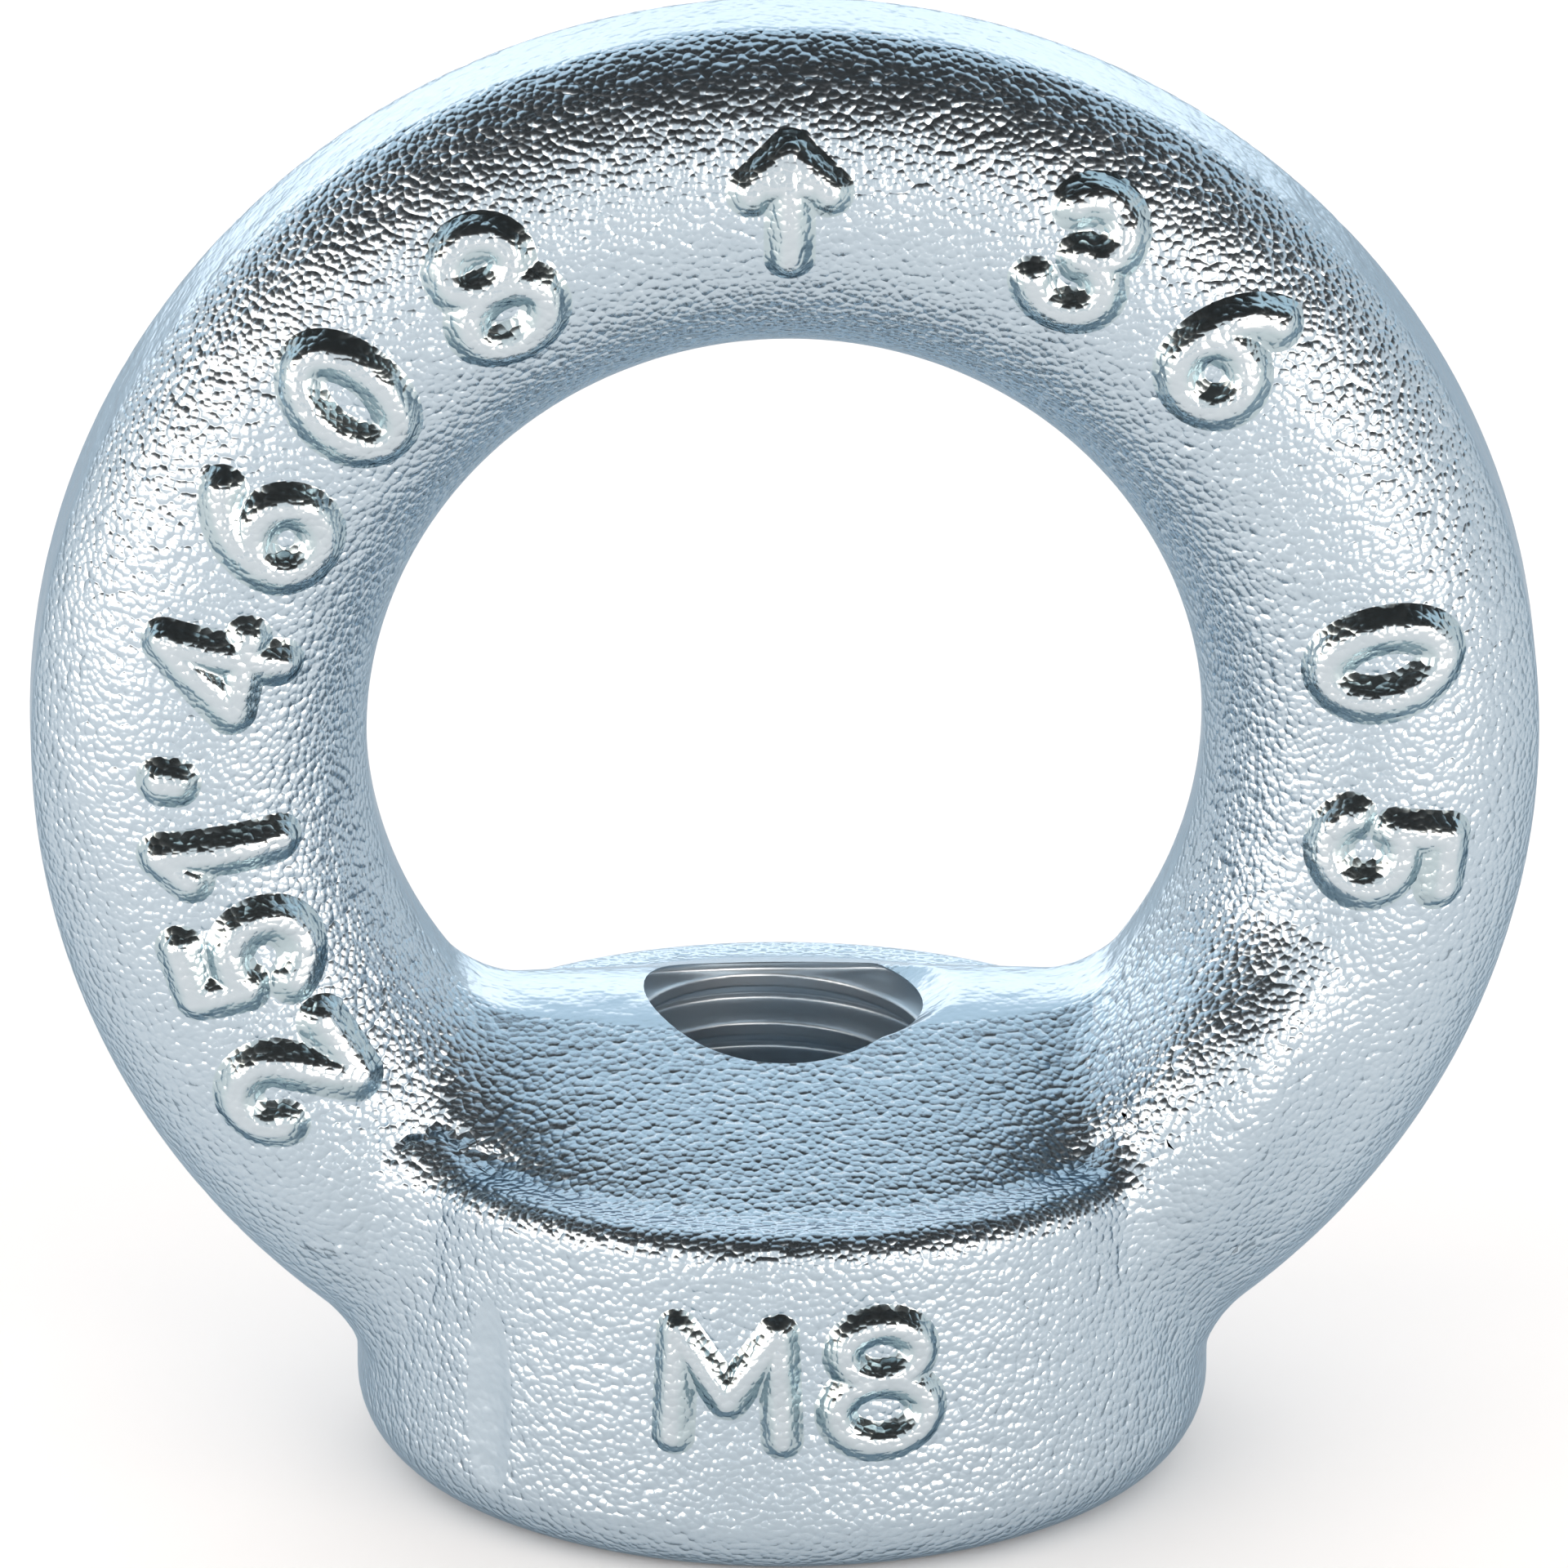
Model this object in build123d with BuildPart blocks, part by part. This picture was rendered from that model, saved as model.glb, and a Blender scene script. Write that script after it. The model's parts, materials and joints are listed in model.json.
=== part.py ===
"""Lifting eye nut, M8, right-hand thread: one drop forging with a ring, a collar and a tapped bore.

Frame: +Z is up and the origin is the centre of the base face. The ring lies in the XZ plane,
so X runs across the eye and Y runs through it. All sizes are in millimetres and degrees.
"""

import os
from math import acos, cos, radians, sin, sqrt, tan

from build123d import *

os.makedirs("parts", exist_ok=True)

# Ring: an oval section that deepens towards the collar, trimmed flat where the dies met
ring_centre_height = 18.35
ring_mean_radius = 14.05
section_width = 8.2
depth_at_top = 7.2
depth_at_collar = 10.0
trimmed_radius = 18.05
top_angle = 90
leg_end_angle = -65  # the legs end here, well inside the collar
section_angles = (top_angle, 45, 0, -45, leg_end_angle)

# Eye, punched through along Y, and the crowned seat that closes it below
eye_radius = 10.0
seat_drop = 6.85  # from the ring's centre down to the seat
seat_height = ring_centre_height - seat_drop
crown_radius = 8.35
crown_half_angle = 15.0
eye_corner_radius = 2.2

# Collar
collar_radius = 10.2
collar_drop = 2.6  # from the seat down to the collar's top
collar_height = seat_height - collar_drop
foot_round = 1.8
rim_round = 0.8

# Mound that rises from the collar's rim towards a narrow ridge, which the punch cuts off
ridge_cut = 0.4  # how much of the ridge the punch takes off
ridge_height = seat_height + ridge_cut
ridge_overhang = 1.8  # how far the ridge runs out past the collar's side, inside the legs
ridge_half_length = collar_radius + ridge_overhang
ridge_half_width = 0.3

# Blend of the ring's legs into the collar and the mound, which stops short of the foot's rounding
leg_blend_radius = 2.5
foot_clearance = 0.2

# Bore, at the thread's minor diameter
bore_radius = 3.35
base_countersink = 0.8

# Countersink in the seat, which ran off centre and cut one side only
seat_countersink_radius = 3.75
seat_countersink_shift = 0.42
seat_countersink_half_angle = 60.0

mean_depth = (depth_at_top + depth_at_collar) / 2
depth_swing = (depth_at_collar - depth_at_top) / 2

# Where the trimmed ring meets the collar's side, the angle between the two faces sets how far
# down the side a blend reaches, so the room above the foot's rounding limits the blend
leg_meeting_height = ring_centre_height - sqrt(trimmed_radius**2 - collar_radius**2)
leg_turn = acos(collar_radius / trimmed_radius)
leg_room = (leg_meeting_height - foot_round - foot_clearance) / tan(leg_turn / 2)
leg_blend = min(leg_blend_radius, max(leg_room, rim_round))

with BuildPart() as ring:
    with BuildLine(Plane.XZ) as centreline:
        CenterArc((0, ring_centre_height), ring_mean_radius, top_angle, leg_end_angle - top_angle)
    for angle in section_angles:
        outward = Vector(cos(radians(angle)), 0, sin(radians(angle)))
        section_plane = Plane(
            origin=Vector(0, 0, ring_centre_height) + outward * ring_mean_radius,
            x_dir=outward,
            z_dir=outward.cross(Vector(0, 1, 0)),
        )
        section_depth = mean_depth - depth_swing * sin(radians(angle))
        with BuildSketch(section_plane):
            Ellipse(section_width / 2, section_depth / 2)
            with Locations((-ring_mean_radius, 0)):
                Rectangle(2 * trimmed_radius, 2 * section_depth, mode=Mode.INTERSECT)
    sweep(path=centreline.line, multisection=True)
    mirror(about=Plane.YZ)

with BuildPart() as boss:
    with BuildSketch(Plane.YZ):
        with BuildLine():
            base = Line((0, 0), (collar_radius - foot_round, 0))
            foot = RadiusArc(base @ 1, (collar_radius, foot_round), -foot_round)
            side = Line(foot @ 1, (collar_radius, collar_height - rim_round))
            rim = RadiusArc(side @ 1, (collar_radius - rim_round, collar_height), -rim_round)
            Polyline(rim @ 1, (0, collar_height), base @ 0)
        make_face()
    revolve(axis=Axis.Z)
    with BuildSketch(Plane.XY.offset(collar_height)):
        Circle(collar_radius - rim_round)
    with BuildSketch(Plane.XY.offset(ridge_height)):
        Ellipse(ridge_half_length, ridge_half_width)
    loft()

with BuildPart() as eye_punch:
    with BuildSketch(Plane.XZ):
        with Locations((0, ring_centre_height)):
            Circle(eye_radius)
    extrude(amount=collar_radius, both=True)
    with BuildSketch(Plane.YZ):
        with BuildLine():
            crown = CenterArc(
                (0, seat_height - crown_radius), crown_radius, 90 - crown_half_angle, 2 * crown_half_angle
            )
            front = PolarLine(crown @ 1, collar_radius, 180 + crown_half_angle)
            back = PolarLine(crown @ 0, collar_radius, -crown_half_angle)
            Polyline(front @ 1, ((front @ 1).X, 0), ((back @ 1).X, 0), back @ 1)
        make_face()
    extrude(amount=eye_radius, both=True, mode=Mode.SUBTRACT)
    fillet(eye_punch.edges(Select.NEW).filter_by(Axis.X, reverse=True), eye_corner_radius)

with BuildPart() as eye_nut:
    add(ring.part)
    add(boss.part)
    fillet(eye_nut.edges(Select.NEW), leg_blend)
    add(eye_punch.part, mode=Mode.SUBTRACT)
    with Locations((0, 0, seat_height)):
        Hole(bore_radius, depth=seat_height)
    chamfer(eye_nut.faces().sort_by(Axis.Z)[0].inner_wires().edges(), base_countersink)
    cone_foot_radius = bore_radius - seat_countersink_shift
    cone_depth = (seat_countersink_radius - cone_foot_radius) / tan(radians(seat_countersink_half_angle))
    with Locations((seat_countersink_shift, 0, seat_height)):
        Cone(
            cone_foot_radius,
            seat_countersink_radius,
            cone_depth,
            align=(Align.CENTER, Align.CENTER, Align.MAX),
            mode=Mode.SUBTRACT,
        )
eye_nut.part.label = "eye_nut"
export_step(eye_nut.part, "parts/eye_nut.step")
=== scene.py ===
"""Lifting eye nut, M8: the looks of one zinc-plated drop forging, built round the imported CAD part.

Everything is in metres in the CAD frame: +Z is up, the ring lies in the XZ plane and the camera
looks along +Y. The visible skin is a copy of the CAD part's triangles, cut finer and moved onto one
smooth formula of the forging, so that the soft blends and the raised marks share one surface.
"""

import json
import math

import bpy
import numpy as np
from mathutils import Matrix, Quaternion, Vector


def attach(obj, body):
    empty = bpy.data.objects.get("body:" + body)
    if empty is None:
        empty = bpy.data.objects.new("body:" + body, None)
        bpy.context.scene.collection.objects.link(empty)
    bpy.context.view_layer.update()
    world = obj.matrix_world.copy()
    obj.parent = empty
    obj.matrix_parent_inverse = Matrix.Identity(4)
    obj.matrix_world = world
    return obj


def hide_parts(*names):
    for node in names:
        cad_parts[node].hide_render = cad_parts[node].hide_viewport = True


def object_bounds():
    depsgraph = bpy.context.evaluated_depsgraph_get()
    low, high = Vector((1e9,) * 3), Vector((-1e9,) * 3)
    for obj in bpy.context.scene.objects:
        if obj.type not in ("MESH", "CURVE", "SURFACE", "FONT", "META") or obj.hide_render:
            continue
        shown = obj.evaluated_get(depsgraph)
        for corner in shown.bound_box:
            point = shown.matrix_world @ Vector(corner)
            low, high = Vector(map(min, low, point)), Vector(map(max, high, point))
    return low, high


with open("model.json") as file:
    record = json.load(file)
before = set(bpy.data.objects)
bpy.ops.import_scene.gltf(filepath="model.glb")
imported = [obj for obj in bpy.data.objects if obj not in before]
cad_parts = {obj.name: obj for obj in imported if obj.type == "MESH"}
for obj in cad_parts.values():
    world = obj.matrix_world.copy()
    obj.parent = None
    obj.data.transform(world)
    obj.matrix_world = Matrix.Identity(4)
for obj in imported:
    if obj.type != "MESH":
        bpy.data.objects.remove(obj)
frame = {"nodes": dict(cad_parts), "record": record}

cad_low, cad_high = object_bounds()

MM = 0.001

# ---------------------------------------------------------------- sizes
mounts = {mount["name"]: mount for mount in frame["record"]["mounts"]}
ring_centre = mounts["eye"]["pos_m"][2]
eye_radius = mounts["eye"]["dims"]["r_mm"] * MM
bore_radius = mounts["thread"]["dims"]["r_mm"] * MM
trimmed_radius = cad_high[0]
collar_radius = cad_high[1]

# Ring section: an oval whose depth grows from the top to the collar
ring_mean_radius = 14.1 * MM
ring_half_width = 4.15 * MM
ring_half_depth = 4.3 * MM
ring_depth_swing = 0.7 * MM
land_round = 0.08 * MM

# Collar
collar_height = 8.9 * MM
foot_round = 1.8 * MM
rim_round = 0.8 * MM

# Mound between the collar's rim and the seat: a narrow flat inside the rim, then a slope that climbs
# to a ridge across the eye. Its section stays the same from mound_reach out, inside the legs
rim_flat = 0.75 * MM
ridge_height = 11.9 * MM
ridge_half_length = 12.0 * MM
ridge_half_width = 0.3 * MM
ridge_round = 0.5 * MM
ridge_end_round = 1.5 * MM
mound_reach = 8.3 * MM
valley_blend = 0.15 * MM
leg_blend = 2.5 * MM

# Swelling where the dies were worn, on the front of the right leg: its middle, and its half sizes
# across the leg, along the leg and through it
swell_middle = np.array([9.7, -2.75, 9.3]) * MM
swell_lean = math.radians(35)
swell_half = np.array([2.6, 6.0, 3.3]) * MM
swell_blend = 0.8 * MM

# Seat below the eye. The corner's blend gives its radius where the eye's side meets the seat
seat_height = 11.5 * MM
crown_radius = 8.35 * MM
crown_half_angle = math.radians(15)
eye_corner_radius = 2.2 * MM
eye_corner_blend = eye_corner_radius * (1 - (ring_centre - seat_height) / eye_radius)
punched_edge = 0.05 * MM

# Countersinks
base_countersink = 0.8 * MM
seat_countersink_radius = 3.75 * MM
seat_countersink_shift = 0.42 * MM
seat_countersink_half_angle = math.radians(60)
countersink_edge = 0.02 * MM

# Thread: the flats at its crest and its root are shares of the pitch
thread_pitch = 1.25 * MM
thread_depth = 0.65 * MM
crest_flat = 1 / 4
root_flat = 1 / 8
thread_run_out = 0.35 * MM
thread_columns, thread_rows = 192, 260

# Gouge that a tool left on the collar's front left
scuff_turn = math.radians(-45)
scuff_height = 3.6 * MM
scuff_depth = 0.13 * MM
scuff_radius = 2.6 * MM
scuff_half_length = 2.7 * MM

# Raised marks: the half widths of a stroke's crest and foot, and how high it stands
ring_stroke = (0.06 * MM, 0.74 * MM, 0.42 * MM)
collar_stroke = (0.06 * MM, 0.62 * MM, 0.4 * MM)
ring_mark_tall = 2.75 * MM
arrow_tall = 2.5 * MM
mark_dip = 0.03 * MM  # how far a mark's rim lies under the skin
mark_pitch = 0.05 * MM  # spacing of a mark's grid
grid_reach, kept_reach = 1.1, 1.08  # how far the grid and its kept faces reach, as shares of the foot

# Each ring mark: its character, the angle that it stands at and the radius of its middle in mm
ring_marks = [
    ("2", 212.0, 14.0), ("5", 198.6, 13.7), ("1", 187.0, 13.7), (".", 179.6, 13.6), ("4", 168.0, 13.9),
    ("6", 152.7, 14.05), ("0", 137.5, 14.25), ("8", 119.7, 14.2),
    ("3", 61.9, 14.85), ("6", 45.3, 14.9), ("0", 11.5, 14.5), ("5", -7.6, 14.4),
]
arrow_radius = 14.4 * MM

# Each collar mark: its character, its height and its middle to the right of the collar's front, in mm
collar_marks = [("M", 2.7, -1.55), ("8", 3.0, 2.1)]
collar_mark_height = 5.2 * MM

# Meshing: the longest edges, and how near the rim of a worked place they are finer
longest_edge = 0.45 * MM
finest_edge = 0.22 * MM
fine_reach = 0.16 * MM
same_place = 0.0005 * MM  # CAD corners that round to the same place are one
corner_room = 0.004 * MM  # how far a CAD corner may lie off its true surface
probe, wide_probe = 0.004 * MM, 0.5 * MM  # steps that a form's slope is taken over
longest_step = 0.5 * MM
least_level, least_length = 1e-9, 1e-12  # these keep a division from running into nought
least_blend = 0.0001 * MM


# ---------------------------------------------------------------- the form
def cut_corner(a, b, radius):
    """The part inside both a and b, with the edge between them rounded: near the edge, the distance
    from the line that lies a radius inside both, less that radius."""
    inner_a = np.maximum(radius + a, 0)
    inner_b = np.maximum(radius + b, 0)
    return np.minimum(-radius, np.maximum(a, b)) + np.hypot(inner_a, inner_b)


def blend(a, b, radius):
    """The part inside a or b, with the hollow between them filled to a radius: the outside has its
    corner cut instead."""
    return -cut_corner(-a, -b, radius)


def unit(vectors):
    """Each vector divided by its length."""
    return vectors / np.maximum(np.linalg.norm(vectors, axis=1), least_length)[:, None]


def slope_of(form, points, step=probe):
    """The form's gradient at each point: the difference of its values a small step to each side, over
    twice the step."""
    slope = np.empty_like(points)
    for axis in range(3):
        shift = np.zeros(3)
        shift[axis] = step
        slope[:, axis] = (form(points + shift) - form(points - shift)) / (2 * step)
    return slope


def oval_distance(u, v, half_u, half_v):
    """Distance to an ellipse, to first order: its level less one, over the level's slope."""
    level = np.maximum(np.hypot(u / half_u, v / half_v), least_level)
    slope = np.hypot(u / half_u**2, v / half_v**2) / level
    return (level - 1) / np.maximum(slope, least_level)


def ring_form(points):
    """The ring: an oval section round a circle, half_depth = mean - swing * sine of the angle round
    the eye, trimmed flat where the dies met."""
    x, y, z = points.T
    rise = z - ring_centre
    radial = np.hypot(x, rise)
    half_depth = ring_half_depth - ring_depth_swing * rise / np.maximum(radial, least_level)
    section = oval_distance(radial - ring_mean_radius, y, ring_half_width, half_depth)
    return cut_corner(section, radial - trimmed_radius, land_round)


def collar_form(points):
    """The collar: an upright cylinder with a rounded foot and rim."""
    x, y, z = points.T
    wall = np.hypot(x, y) - collar_radius
    footed = cut_corner(wall, -z, foot_round)
    return cut_corner(footed, z - collar_height, rim_round)


def mound_form(points):
    """The mound: ellipses whose half sizes change evenly with height, from the flat inside the
    collar's rim to the ridge. The distance within each level is divided by the square root of one
    plus the lean squared, where the lean is how fast the ellipse moves with height. Above the ridge
    the lean goes on, so that the distance keeps growing."""
    x, y, z = points.T
    climb = ridge_height - collar_height
    rise = np.clip((z - collar_height) / climb, 0, 1)
    rim = collar_radius - rim_round - rim_flat
    long, long_rate = rim + (ridge_half_length - rim) * rise, ridge_half_length - rim
    short, short_rate = rim + (ridge_half_width - rim) * rise, ridge_half_width - rim
    inner = np.clip(x, -mound_reach, mound_reach)
    level = np.maximum(np.hypot(inner / long, y / short), least_level)
    on_x, on_y = inner / level, y / level
    lean = on_x**2 * long_rate / long**3 + on_y**2 * short_rate / short**3
    lean /= np.maximum(np.hypot(on_x / long**2, on_y / short**2), least_level) * climb
    above = np.maximum(z - ridge_height, 0) * np.maximum(-lean, 0)
    sloping = (oval_distance(inner, y, long, short) + above) / np.sqrt(1 + lean**2)
    bounded = cut_corner(sloping, np.abs(x) - ridge_half_length, ridge_end_round)
    bounded = cut_corner(bounded, z - ridge_height, ridge_round)
    return np.maximum(bounded, collar_height - 2 * rim_round - z)


def boss_form(points):
    """The collar with its mound."""
    return blend(collar_form(points), mound_form(points), valley_blend)


def swell_form(points):
    """An egg shape along the right leg: its level less one, over the level's slope."""
    cosine, sine = math.cos(swell_lean), math.sin(swell_lean)
    turned = (points - swell_middle) @ np.array([[cosine, sine, 0], [0, 0, 1], [-sine, cosine, 0]])
    level = np.maximum(np.linalg.norm(turned / swell_half, axis=1), least_level)
    return (level - 1) * level / np.maximum(np.linalg.norm(turned / swell_half**2, axis=1), least_level)


def forged_form(points):
    """The forging as it leaves the dies: the ring run into the collar and its mound by one rolling
    blend. Its radius is taken times one less the cosine between the two surfaces' normals, because
    a ball of the same size fills less where they meet at a flatter angle."""
    ring_normal = unit(slope_of(ring_form, points, wide_probe))
    boss_normal = unit(slope_of(boss_form, points, wide_probe))
    facing = (ring_normal * boss_normal).sum(1)
    radius = np.maximum(leg_blend * (1 - facing), least_blend)
    forged = blend(ring_form(points), boss_form(points), radius)
    return blend(forged, swell_form(points), swell_blend)


def seat_form(points):
    """Height over the seat: a crown along X with a straight slope on each side of it."""
    _, y, z = points.T
    across = np.abs(y)
    edge = crown_radius * math.sin(crown_half_angle)
    edge_height = seat_height - crown_radius * (1 - math.cos(crown_half_angle))
    crown = np.hypot(across, z - seat_height + crown_radius) - crown_radius
    slope = (z - edge_height) * math.cos(crown_half_angle) + (across - edge) * math.sin(crown_half_angle)
    return np.where(across < edge, crown, slope)


def punch_form(points):
    """The eye punch: the round eye above the crowned seat, with a rounded corner on each side."""
    radial = np.hypot(points[:, 0], points[:, 2] - ring_centre)
    return cut_corner(radial - eye_radius, -seat_form(points), eye_corner_blend)


def scuff_form(points):
    """The scuff on the collar: an upright round-bottomed gouge, deepest at its middle, whose depth
    falls off with the square of the height from there. Positive where metal was taken."""
    x, y, z = points.T
    outward = x * math.sin(scuff_turn) - y * math.cos(scuff_turn)
    across = x * math.cos(scuff_turn) + y * math.sin(scuff_turn)
    depth = scuff_depth * (1 - ((z - scuff_height) / scuff_half_length) ** 2)
    gouge = scuff_radius - np.hypot(outward - collar_radius - scuff_radius + depth, across)
    on_collar = (z < collar_height - rim_round) & (np.hypot(x, y) < collar_radius + 2 * scuff_depth)
    return np.where(on_collar, gouge, -collar_radius)


def worked_form(points):
    """What was worked on after forging, the eye punch's cut and the scuff: positive where metal was
    taken."""
    return np.maximum(-punch_form(points), scuff_form(points))


def forging_form(points):
    """The whole forging without its bore: negative inside, about the distance in metres. The seat's
    countersink is a cone whose axis is shifted from the bore's."""
    x, y, z = points.T
    body = cut_corner(forged_form(points), worked_form(points), punched_edge)
    reach = np.hypot(x - seat_countersink_shift, y)
    cone = (reach - seat_countersink_radius) / math.tan(seat_countersink_half_angle) - (z - seat_height)
    near = (reach < 2 * seat_countersink_radius) & (np.abs(z - seat_height) < eye_corner_radius)
    cone = np.where(near, cone * math.sin(seat_countersink_half_angle), 1.0)
    return cut_corner(body, -cone, countersink_edge)


def onto_form(form, points, rounds=5, along=None):
    """The points moved onto the form's surface by Newton steps, down its slope or along one line. A
    step is the form's value over its rate of change, and is held to the longest step."""
    least_rate, least_slope_squared = 0.15, 0.05
    points = points.copy()
    for _ in range(rounds):
        slope = slope_of(form, points)
        if along is None:
            squared = np.maximum((slope**2).sum(1), least_slope_squared)[:, None]
            step = form(points)[:, None] * slope / squared
        else:
            rate = slope @ along
            rate = np.where(np.abs(rate) < least_rate, np.copysign(least_rate, rate), rate)
            step = (form(points) / rate)[:, None] * along
        length = np.linalg.norm(step, axis=1)[:, None]
        points -= step * np.minimum(1, longest_step / np.maximum(length, least_length))
    return points


# ---------------------------------------------------------------- meshes
def merged_triangles(node):
    """A CAD node's corners and triangles, with corners in one place joined into one."""
    mesh = node.data
    flat = np.empty(len(mesh.vertices) * 3)
    mesh.vertices.foreach_get("co", flat)
    corner = np.empty(len(mesh.loops), int)
    mesh.loops.foreach_get("vertex_index", corner)
    points = flat.reshape(-1, 3)
    place = np.round(points / same_place)
    _, first, joined = np.unique(place, axis=0, return_index=True, return_inverse=True)
    triangles = joined.reshape(-1)[corner].reshape(-1, 3)
    whole = (triangles != np.roll(triangles, 1, axis=1)).all(1)
    return points[first], triangles[whole]


def halve_long_edges(points, triangles, allowed):
    """Every edge over the length allowed at its middle gets a corner there and its triangles are cut
    to match, until none is left. A triangle with one such edge becomes two, with two of them three
    and with three of them four."""
    while True:
        ends = np.stack([triangles, np.roll(triangles, -1, axis=1)], axis=2).reshape(-1, 2)
        edges, which = np.unique(np.sort(ends, axis=1), axis=0, return_inverse=True)
        length = np.linalg.norm(points[edges[:, 0]] - points[edges[:, 1]], axis=1)
        split = length > finest_edge
        split[split] = length[split] > allowed(points[edges[split]].mean(1))
        if not split.any():
            return points, triangles
        middle = np.full(len(edges), -1)
        middle[split] = len(points) + np.arange(split.sum())
        points = np.concatenate([points, points[edges[split]].mean(1)])
        middles = middle[which.reshape(-1, 3)]
        count = (middles >= 0).sum(1)
        parts = [triangles[count == 0]]
        for cuts in (1, 2, 3):
            chosen, mids = triangles[count == cuts], middles[count == cuts]
            if cuts == 1:
                turn = np.argmax(mids >= 0, axis=1)
            elif cuts == 2:
                turn = (np.argmin(mids, axis=1) + 1) % 3
            else:
                turn = np.zeros(len(mids), int)
            order = (np.arange(3) + turn[:, None]) % 3
            a, b, c = np.take_along_axis(chosen, order, 1).T
            ab, bc, ca = np.take_along_axis(mids, order, 1).T
            cut = {
                1: ((a, ab, c), (ab, b, c)),
                2: ((ab, b, bc), (a, ab, bc), (a, bc, c)),
                3: ((a, ab, ca), (ab, b, bc), (ca, bc, c), (ab, bc, ca)),
            }
            parts += [np.stack(triangle, 1) for triangle in cut[cuts]]
        triangles = np.concatenate(parts)


def edge_allowed(points):
    """How long the skin's edges may be: finer along the rim of the punched and scuffed places."""
    forged = forged_form(points)
    near_rim = np.abs(worked_form(points) - forged) < fine_reach
    return np.where(near_rim & (np.abs(forged) < fine_reach), finest_edge, longest_edge)


def mesh_object(name, points, faces, normals=None, layers=None):
    """A mesh object from arrays, with its own normals and named values at its corners if given."""
    mesh = bpy.data.meshes.new(name)
    mesh.from_pydata(points.tolist(), [], faces.tolist())
    mesh.update()
    mesh.shade_smooth()
    if normals is not None:
        mesh.normals_split_custom_set_from_vertices(normals.tolist())
    for layer, values in (layers or {}).items():
        mesh.attributes.new(layer, "FLOAT", "POINT").data.foreach_set("value", values.astype(np.float32))
    made = bpy.data.objects.new(name, mesh)
    bpy.context.scene.collection.objects.link(made)
    return made


def grid_faces(rows, columns, around=False):
    """The four-cornered faces of a grid of points, closed round its columns if asked."""
    wide = columns if around else columns - 1
    row, column = np.meshgrid(np.arange(rows - 1), np.arange(wide), indexing="ij")
    start, following = row.ravel() * columns, (column.ravel() + 1) % columns
    column = column.ravel()
    below, above = start, start + columns
    return np.stack([below + column, below + following, above + following, above + column], axis=1)


def used_only(points, faces, *values):
    """The same faces with the points that none of them uses left out."""
    kept, numbered = np.unique(faces, return_inverse=True)
    return (points[kept], numbered.reshape(faces.shape), *[value[kept] for value in values])


# ---------------------------------------------------------------- body and thread
def body_skin(name, node):
    """The forging's outside: the CAD triangles without the bore wall, cut finer and moved onto the
    form. Also gives the bore's mouth, as its turn and its height, for the thread to end at."""
    points, triangles = merged_triangles(node)
    reach, height = np.hypot(points[:, 0], points[:, 1]), points[:, 2]
    wall = (reach < bore_radius + corner_room) & (height < seat_height + corner_room)
    flare = (reach < bore_radius + base_countersink + corner_room) & (height < base_countersink + corner_room)
    triangles = triangles[~(wall | flare)[triangles].all(1)]
    points, triangles = halve_long_edges(points, triangles, edge_allowed)
    points, triangles = used_only(points, triangles)

    reach, height = np.hypot(points[:, 0], points[:, 1]), points[:, 2]
    on_mound = np.abs(height - collar_height) < ridge_height - collar_height
    mouth = (reach < bore_radius + corner_room) & on_mound
    underside = height < corner_room
    moved = onto_form(forging_form, points)
    rim = onto_form(forging_form, points[mouth], along=np.array([0.0, 0.0, 1.0]))
    moved[mouth] = rim
    moved[underside, 2] = 0
    normals = unit(slope_of(forging_form, moved))
    normals[underside] = (0, 0, -1)
    skin = mesh_object(name, moved, triangles, normals, {"worked": worked_depth(moved)})

    turn = np.arctan2(rim[:, 1], rim[:, 0])
    order = np.argsort(turn)
    return skin, turn[order], rim[order, 2]


def worked_depth(points):
    """How far inside a worked place each point of the skin is, in millimetres: the punched seat and
    eye, the scuff, and the outer land that the trimming left. Negative on the forged skin."""
    cut = worked_form(points) - forged_form(points)
    land_margin = 0.015 * MM
    land = np.hypot(points[:, 0], points[:, 2] - ring_centre) - trimmed_radius + land_margin
    past_legs = (points[:, 2] > seat_height) | (np.abs(points[:, 0]) > collar_radius + rim_round)
    return np.maximum(cut, np.where(past_legs, land, -MM)) / MM


def thread_wall(name, mouth_turn, mouth_height):
    """The tapped bore: radius over turn and height. Height over pitch, less the turn, gives the place
    across a right-hand groove with sloping sides; the groove runs out under the mouth and opens into
    a cone at the base."""
    turn = np.linspace(-math.pi, math.pi, thread_columns, endpoint=False)
    top = np.interp(turn, mouth_turn, mouth_height, period=2 * math.pi)
    share = np.linspace(0, 1, thread_rows)[:, None]
    height = share * top[None, :]
    phase = (height / thread_pitch - turn[None, :] / (2 * math.pi)) % 1
    from_middle = np.abs(phase - 0.5)
    half_open, half_bottom = (1 - crest_flat) / 2, root_flat / 2
    groove = np.clip((half_open - from_middle) / (half_open - half_bottom), 0, 1)
    below_mouth = np.clip((top[None, :] - height) / thread_run_out, 0, 1)
    radius = bore_radius + thread_depth * groove * below_mouth**2 * (3 - 2 * below_mouth)
    radius = np.maximum(radius, bore_radius + base_countersink - height)
    points = np.stack([radius * np.cos(turn), radius * np.sin(turn), height], axis=2).reshape(-1, 3)
    return mesh_object(name, points, grid_faces(thread_rows, thread_columns, around=True)[:, ::-1])


# ---------------------------------------------------------------- raised marks
def arc(cx, cy, rx, ry, start, end, count=18):
    """Points along part of an ellipse, in degrees."""
    turn = np.radians(np.linspace(start, end, count))
    return [(cx + rx * math.cos(t), cy + ry * math.sin(t)) for t in turn]


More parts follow.
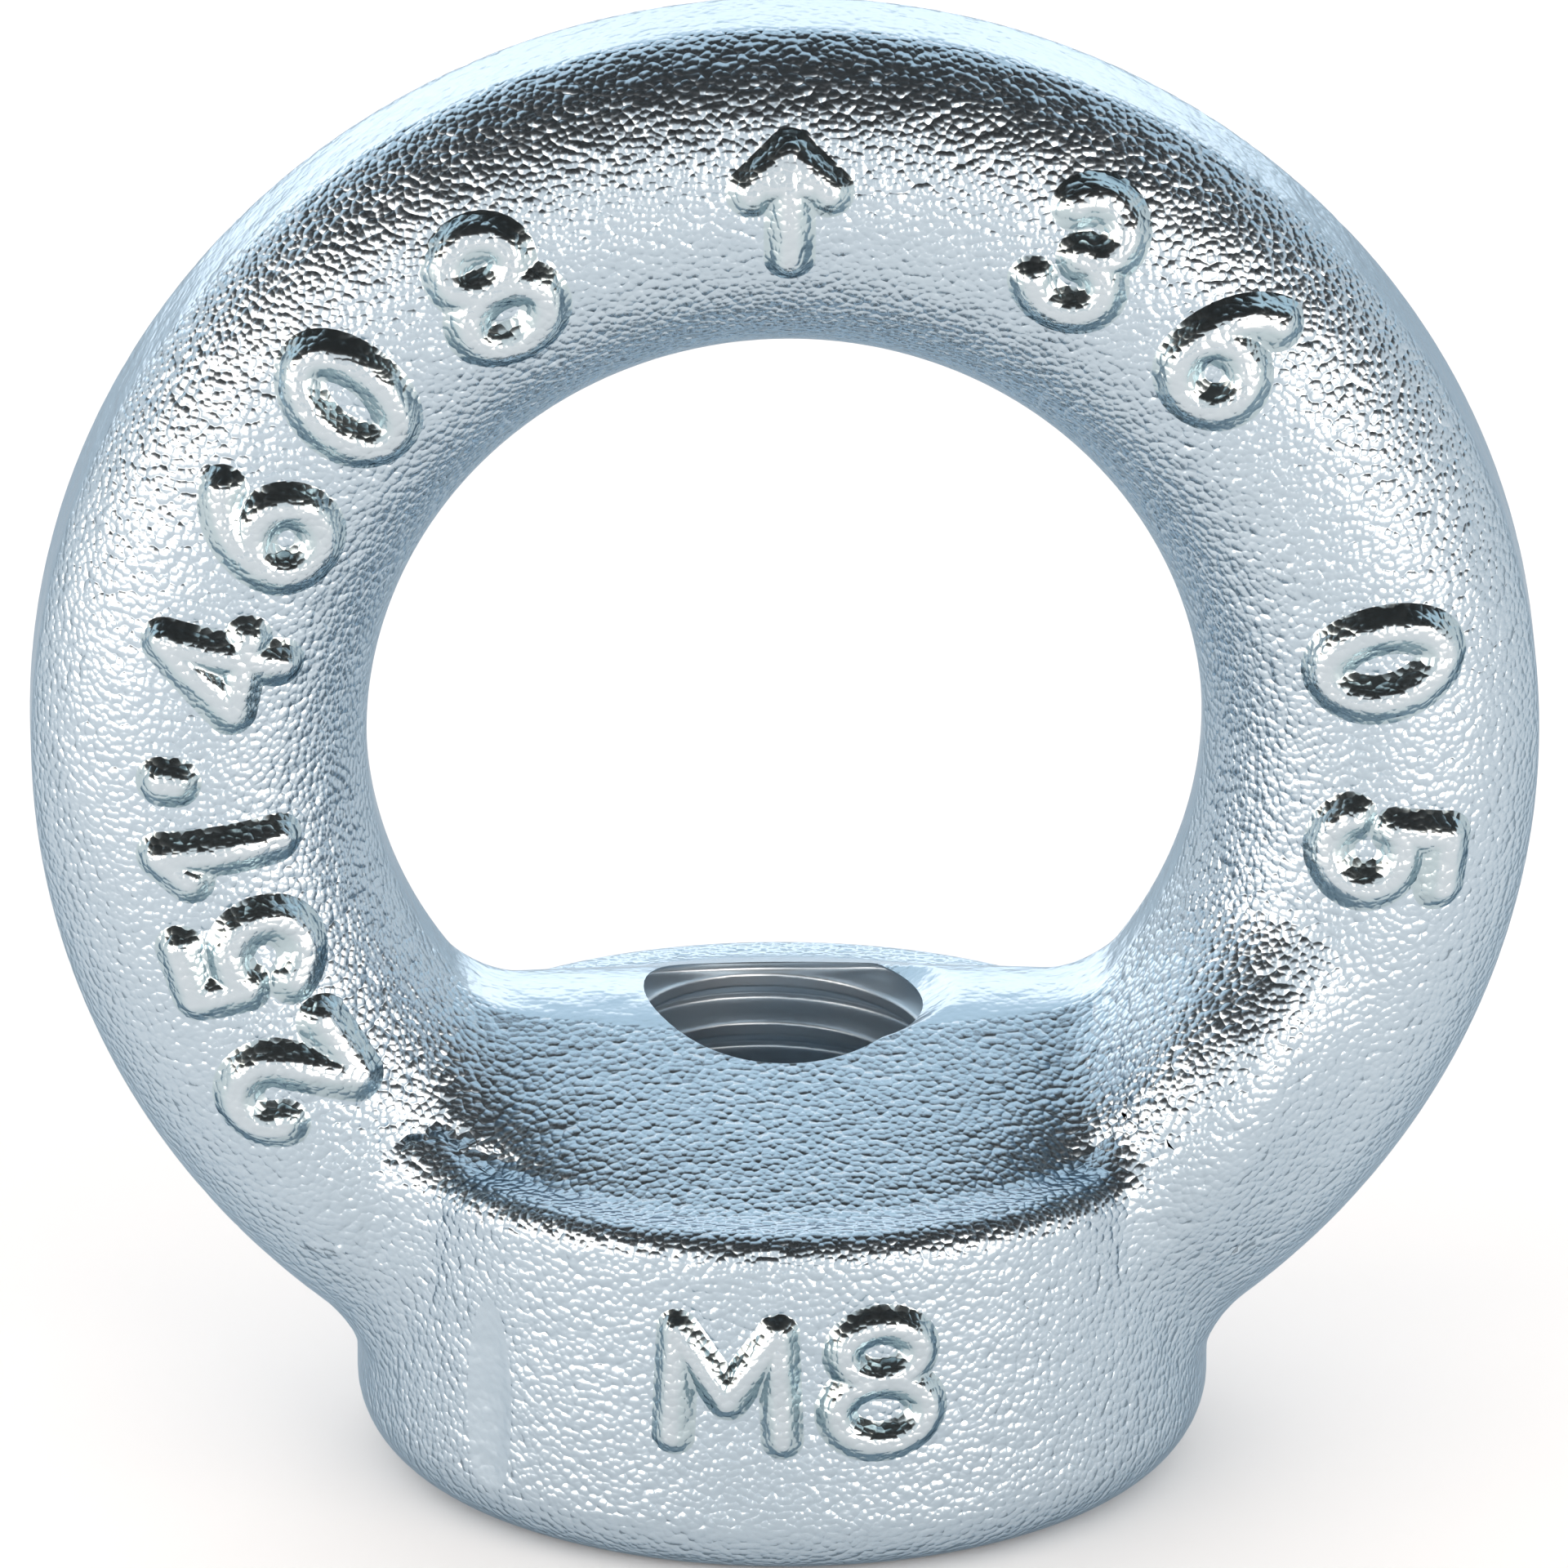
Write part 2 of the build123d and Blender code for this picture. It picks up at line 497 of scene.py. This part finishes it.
# Strokes of each character in a box one unit high; the number is the box's width
characters = {
    "0": (0.62, [arc(0.31, 0.5, 0.31, 0.5, 0, 360, 40)]),
    "1": (0.50, [[(0.05, 0.78), (0.27, 1.0), (0.27, 0.0)]]),
    "2": (0.62, [arc(0.3, 0.70, 0.29, 0.30, 170, -35) + [(0.02, 0.0), (0.62, 0.0)]]),
    "3": (0.60, [arc(0.28, 0.75, 0.28, 0.25, 150, -90), arc(0.28, 0.26, 0.32, 0.26, 90, -150)]),
    "4": (0.66, [[(0.48, 0.0), (0.48, 1.0), (0.0, 0.32), (0.66, 0.32)]]),
    "5": (0.60, [[(0.56, 1.0), (0.1, 1.0), (0.07, 0.56)] + arc(0.27, 0.32, 0.33, 0.32, 125, -150)]),
    "6": (0.62, [arc(0.31, 0.3, 0.31, 0.3, 0, 360, 30), arc(0.6, 0.32, 0.6, 0.68, 180, 105)]),
    "8": (0.74, [arc(0.37, 0.77, 0.3, 0.23, 0, 360, 26), arc(0.37, 0.27, 0.36, 0.27, 0, 360, 28)]),
    "M": (0.96, [[(0.0, 0.0), (0.04, 1.0), (0.48, 0.36), (0.92, 1.0), (0.96, 0.0)]]),
    ".": (0.10, [[(0.05, 0.88), (0.05, 1.0)]]),
    "up": (
        0.74,
        [[(0.37, 0.0), (0.37, 0.9)], [(0.0, 0.66), (0.37, 1.0), (0.74, 0.66)], [(0.2, 0.74), (0.54, 0.74)]],
    ),
}


def stroke_distance(points, strokes):
    """Distance from each flat point to the nearest stroke."""
    nearest = np.full(len(points), np.inf)
    for stroke in strokes:
        for start, end in zip(stroke[:-1], stroke[1:]):
            start, end = np.array(start), np.array(end)
            along = end - start
            share = np.clip((points - start) @ along / max(along @ along, least_length), 0, 1)
            nearest = np.minimum(nearest, np.linalg.norm(points - start - share[:, None] * along, axis=1))
    return nearest


def raised_mark(name, character, tall, section, centre, right, up):
    """A raised character: a flat grid dropped onto the form along Y, then lifted along the form's
    slope by a raised cosine of the distance to the nearest stroke. Its rim ends just under the skin."""
    crest, foot, height = section
    width, strokes = characters[character]
    strokes = [[((u - width / 2) * tall, (v - 0.5) * tall) for u, v in stroke] for stroke in strokes]
    reach_u, reach_v = width * tall / 2 + foot * grid_reach, tall / 2 + foot * grid_reach
    columns = int(2 * reach_u / mark_pitch) + 1
    rows = int(2 * reach_v / mark_pitch) + 1
    v, u = np.meshgrid(
        np.linspace(-reach_v, reach_v, rows), np.linspace(-reach_u, reach_u, columns), indexing="ij"
    )
    flat = np.stack([u.ravel(), v.ravel()], axis=1)
    gap = stroke_distance(flat, strokes)
    start = centre + flat[:, :1] * right + flat[:, 1:] * up
    base = onto_form(forging_form, start, rounds=8, along=np.array([0.0, 1.0, 0.0]))
    share = np.clip((gap - crest) / (foot - crest), 0, 1)
    lift = 0.5 + 0.5 * np.cos(math.pi * share)
    points = base + unit(slope_of(forging_form, base)) * (height * lift - mark_dip)[:, None]
    faces = grid_faces(rows, columns)
    faces = faces[(gap[faces] < foot * kept_reach).any(1)]
    points, faces, lift = used_only(points, faces, lift)
    return mesh_object(name, points, faces, layers={"lift": lift})


def ring_mark(name, character, angle, radius, tall=ring_mark_tall):
    """A character on the ring's front, upright along the radius at that angle from +X."""
    turn = math.radians(angle)
    outward = np.array([math.cos(turn), 0, math.sin(turn)])
    clockwise = np.array([math.sin(turn), 0, -math.cos(turn)])
    centre = np.array([0, -ring_half_depth, ring_centre]) + outward * radius
    return raised_mark(name, character, tall, ring_stroke, centre, clockwise, outward)


def collar_mark(name, character, tall, middle):
    """An upright character on the collar's front, its middle that far to the right."""
    across, upward = np.array([1.0, 0, 0]), np.array([0, 0, 1.0])
    centre = np.array([middle, -collar_radius, collar_mark_height])
    return raised_mark(name, character, tall, collar_stroke, centre, across, upward)


# ---------------------------------------------------------------- materials
def linear(code):
    """A colour written as sRGB hex, in linear values."""
    parts = [int(code[i : i + 2], 16) / 255 for i in (1, 3, 5)]
    return [c / 12.92 if c <= 0.04045 else ((c + 0.055) / 1.055) ** 2.4 for c in parts] + [1.0]


def add_node(tree, kind, links=None, **settings):
    """A node of that kind with its settings; links gives an output for each input's name."""
    node = tree.nodes.new(kind)
    for key, value in settings.items():
        if key[0].islower():
            setattr(node, key, value)
        else:
            node.inputs[key.replace("_", " ")].default_value = value
    for key, source in (links or {}).items():
        tree.links.new(source, node.inputs[key])
    return node


def new_material(name, **sockets):
    """A new material whose one shader has these values; gives back the material and the shader."""
    made = bpy.data.materials.new(name)
    made.use_nodes = True
    shader = made.node_tree.nodes["Principled BSDF"]
    for socket, value in sockets.items():
        shader.inputs[socket.replace("_", " ")].default_value = value
    return made, shader


def metal(name, colour, roughness):
    """A metal of that colour, whose edges go to a cool grey rather than to white."""
    return new_material(
        name, Metallic=1.0, Base_Color=linear(colour), Roughness=roughness, Specular_Tint=linear("#AEBECA")
    )


def bump(tree, place, size, depth, normal=None):
    """A soft random bump of that feature size and depth, as an output to link to a normal."""
    noise = add_node(tree, "ShaderNodeTexNoise", {"Vector": place}, Scale=1 / size, Detail=1.0, Roughness=0.5)
    links = {"Height": noise.outputs["Fac"]} | ({"Normal": normal} if normal else {})
    return add_node(tree, "ShaderNodeBump", links, Distance=depth).outputs["Normal"]


def pebbles(tree, place, depth, normal, strength=None):
    """Rounded pebbles of about 0.18 mm with creases between them, as an output to link to a normal:
    the height falls with the square of the distance from each pebble's middle."""
    size = 0.18 * MM
    cells = add_node(
        tree, "ShaderNodeTexVoronoi", {"Vector": place}, feature="SMOOTH_F1", Scale=1 / size, Smoothness=0.3
    )
    distance = cells.outputs["Distance"]
    fall = add_node(tree, "ShaderNodeMath", {0: distance, 1: distance}, operation="MULTIPLY")
    links = {"Height": fall.outputs[0], "Normal": normal} | ({"Strength": strength} if strength else {})
    return add_node(tree, "ShaderNodeBump", links, invert=True, Distance=depth).outputs["Normal"]


def zinc_plated_forging():
    """Bright zinc over a shot-blasted forging: pebbles that break up reflections over the slow
    unevenness of the dies, but smoother where the forging was punched, trimmed or scuffed."""
    made, shader = metal("zinc_plated_forging", "#B8C7D2", 0.27)
    tree = made.node_tree
    place = add_node(tree, "ShaderNodeTexCoord").outputs["Object"]
    worked = add_node(tree, "ShaderNodeAttribute", attribute_name="worked").outputs["Fac"]
    margin, kept = 0.004, 0.22  # half the width of the change in mm, and the share of pebbles kept
    strength = add_node(
        tree,
        "ShaderNodeMapRange",
        {"Value": worked},
        From_Min=-margin,
        From_Max=margin,
        To_Min=1.0,
        To_Max=kept,
    ).outputs["Result"]
    slow = bump(tree, place, 0.45 * MM, 0.04 * MM, bump(tree, place, 1.6 * MM, 0.09 * MM))
    tree.links.new(pebbles(tree, place, 0.055 * MM, slow, strength), shader.inputs["Normal"])
    return made


def zinc_plated_mark():
    """Bright zinc on the raised marks: smoother than the field, with colour painted lighter on each stroke's
    crest and greyer on its slopes, a painted highlight in painted shade: a brighter crest in a darker
    outline."""
    made, shader = metal("zinc_plated_mark", "#B8C7D2", 0.2)
    tree = made.node_tree
    place = add_node(tree, "ShaderNodeTexCoord").outputs["Object"]
    lift = add_node(tree, "ShaderNodeAttribute", attribute_name="lift").outputs["Fac"]
    # Colour over the lift: a painted highlight on each stroke's crest and painted shade on its slopes
    crest_highlight_slope_shade = add_node(tree, "ShaderNodeValToRGB", {"Fac": lift})
    crest_highlight_slope_shade.color_ramp.elements[0].color = linear("#B8C7D2")
    crest_highlight_slope_shade.color_ramp.elements[1].color = linear("#C2CDD4")
    for position, colour in ((0.12, "#B2C2C8"), (0.8, "#B6C6CC")):
        crest_highlight_slope_shade.color_ramp.elements.new(position).color = linear(colour)
    tree.links.new(crest_highlight_slope_shade.outputs["Color"], shader.inputs["Base Color"])
    slow = bump(tree, place, 0.8 * MM, 0.12 * MM)
    tree.links.new(pebbles(tree, place, 0.03 * MM, slow), shader.inputs["Normal"])
    return made


def zinc_plated_thread_painted_light():
    """Bright zinc in the tapped bore, with a satin sheen; its lighter colour is painted light in the shaded
    bore.
    """
    # The colour, lighter than the forged skin's, is painted light where the bore lies in shade
    made, _ = metal("zinc_plated_thread_painted_light", "#D8E3EB", 0.38)
    return made


def backdrop_paper():
    """White seamless paper: a plain pale ground that keeps the object's soft shadow."""
    made, _ = new_material("pale_floor", Base_Color=linear("#F4F4F4"), Roughness=0.9)
    return made


def black_studio_card():
    """Matt black card overhead: it gives the metal its dark band."""
    made, _ = new_material("black_card", Base_Color=linear("#101214"), Roughness=0.9)
    return made


def blue_studio_card():
    """Matt pale blue card, high behind the object: it tints the metal that faces up and back."""
    made, _ = new_material("blue_card", Base_Color=linear("#D2E9F8"), Roughness=0.9)
    return made


# ---------------------------------------------------------------- the object
node = frame["nodes"]["eye_nut"]
skin, mouth_turn, mouth_height = body_skin("forging_skin", node)
skin.data.materials.append(zinc_plated_forging())
thread = thread_wall("thread_wall", mouth_turn, mouth_height)
thread.data.materials.append(zinc_plated_thread_painted_light())

marks = [
    ring_mark(f"ring_mark_{i}", c, angle, radius * MM) for i, (c, angle, radius) in enumerate(ring_marks)
]
marks.append(ring_mark("ring_arrow", "up", 90, arrow_radius, arrow_tall))
marks += [collar_mark(f"collar_mark_{c}", c, tall * MM, middle * MM) for c, tall, middle in collar_marks]
mark_metal = zinc_plated_mark()
for mark in marks:
    mark.data.materials.append(mark_metal)

for piece in (skin, thread, *marks):
    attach(piece, "root")
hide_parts("eye_nut")


# ---------------------------------------------------------------- stage, light, camera
def flat_sheet(name, half_width, front, back, height):
    """A flat level stage piece of one face."""
    corners = [(-half_width, front), (half_width, front), (half_width, back), (-half_width, back)]
    points = np.array([(x, y, height) for x, y in corners])
    return mesh_object(name, points, np.array([[0, 1, 2, 3]]))


floor = flat_sheet("floor", half_width=0.5, front=-0.5, back=0.5, height=-0.02 * MM)
floor.data.materials.append(backdrop_paper())

# The two cards hang over the object, edge to edge. They show in the metal, but cast no shade
cards_height, cards_seam = 0.3, 0.11
front_card = flat_sheet("black_card", half_width=0.85, front=-0.36, back=cards_seam, height=cards_height)
front_card.data.materials.append(black_studio_card())
back_card = flat_sheet("blue_card", half_width=0.6, front=cards_seam, back=0.5, height=cards_height)
back_card.data.materials.append(blue_studio_card())
for card in (front_card, back_card):
    card.visible_diffuse = card.visible_camera = False


def direction(azimuth, elevation):
    """The unit vector from the object to there; azimuth 0 is in front, positive to the right."""
    level = math.cos(elevation)
    return np.array([math.sin(azimuth) * level, -math.cos(azimuth) * level, math.sin(elevation)])


def soft_lamp(name, azimuth, elevation, distance, wide, tall, power, colour):
    """A rectangular lamp that faces the ring's centre, its azimuth and elevation in degrees."""
    light = bpy.data.lights.new(name, "AREA")
    light.shape = "RECTANGLE"
    light.size, light.size_y = wide, tall
    light.energy = power
    light.color = linear(colour)[:3]
    lamp = bpy.data.objects.new(name, light)
    a, e = math.radians(azimuth), math.radians(elevation)
    lamp.location = direction(a, e) * distance + np.array([0, 0, ring_centre])
    lamp.rotation_euler = (math.pi / 2 - e, 0, a)
    lamp.visible_camera = False
    bpy.context.scene.collection.objects.link(lamp)


soft_lamp("left", -60, 8, distance=0.7, wide=0.9, tall=0.45, power=3.8, colour="#FFEADA")
soft_lamp("right", 40, 8, distance=0.7, wide=0.55, tall=0.45, power=3.0, colour="#FFEADA")
soft_lamp("back", -172, 16, distance=0.75, wide=1.0, tall=0.42, power=2.5, colour="#FFF0E8")

world = bpy.data.worlds.new("studio")
bpy.context.scene.world = world
world.use_nodes = True
background = world.node_tree.nodes["Background"]
background.inputs["Color"].default_value = linear("#FFFFFF")
background.inputs["Strength"].default_value = 1.0

camera_elevation = math.radians(21.15)
camera_yaw = math.radians(-1.5)
camera_roll = math.radians(0.2)
camera_distance = 1.5
frame_width = 37.55 * MM
sensor_width = 36
target = np.array([0.0, 0.0, 16.68 * MM])
lens = bpy.data.cameras.new("camera")
lens.lens = sensor_width * camera_distance / frame_width
lens.sensor_width = sensor_width
lens.clip_end = 10
camera = bpy.data.objects.new("camera", lens)
camera.location = target + camera_distance * direction(camera_yaw, camera_elevation)
camera.rotation_mode = "QUATERNION"
tilt = Quaternion((1, 0, 0), math.pi / 2 - camera_elevation)
camera.rotation_quaternion = Quaternion((0, 0, 1), camera_yaw) @ tilt @ Quaternion((0, 0, 1), camera_roll)
bpy.context.scene.collection.objects.link(camera)
bpy.context.scene.camera = camera
bpy.context.scene.view_settings.view_transform = "Standard"
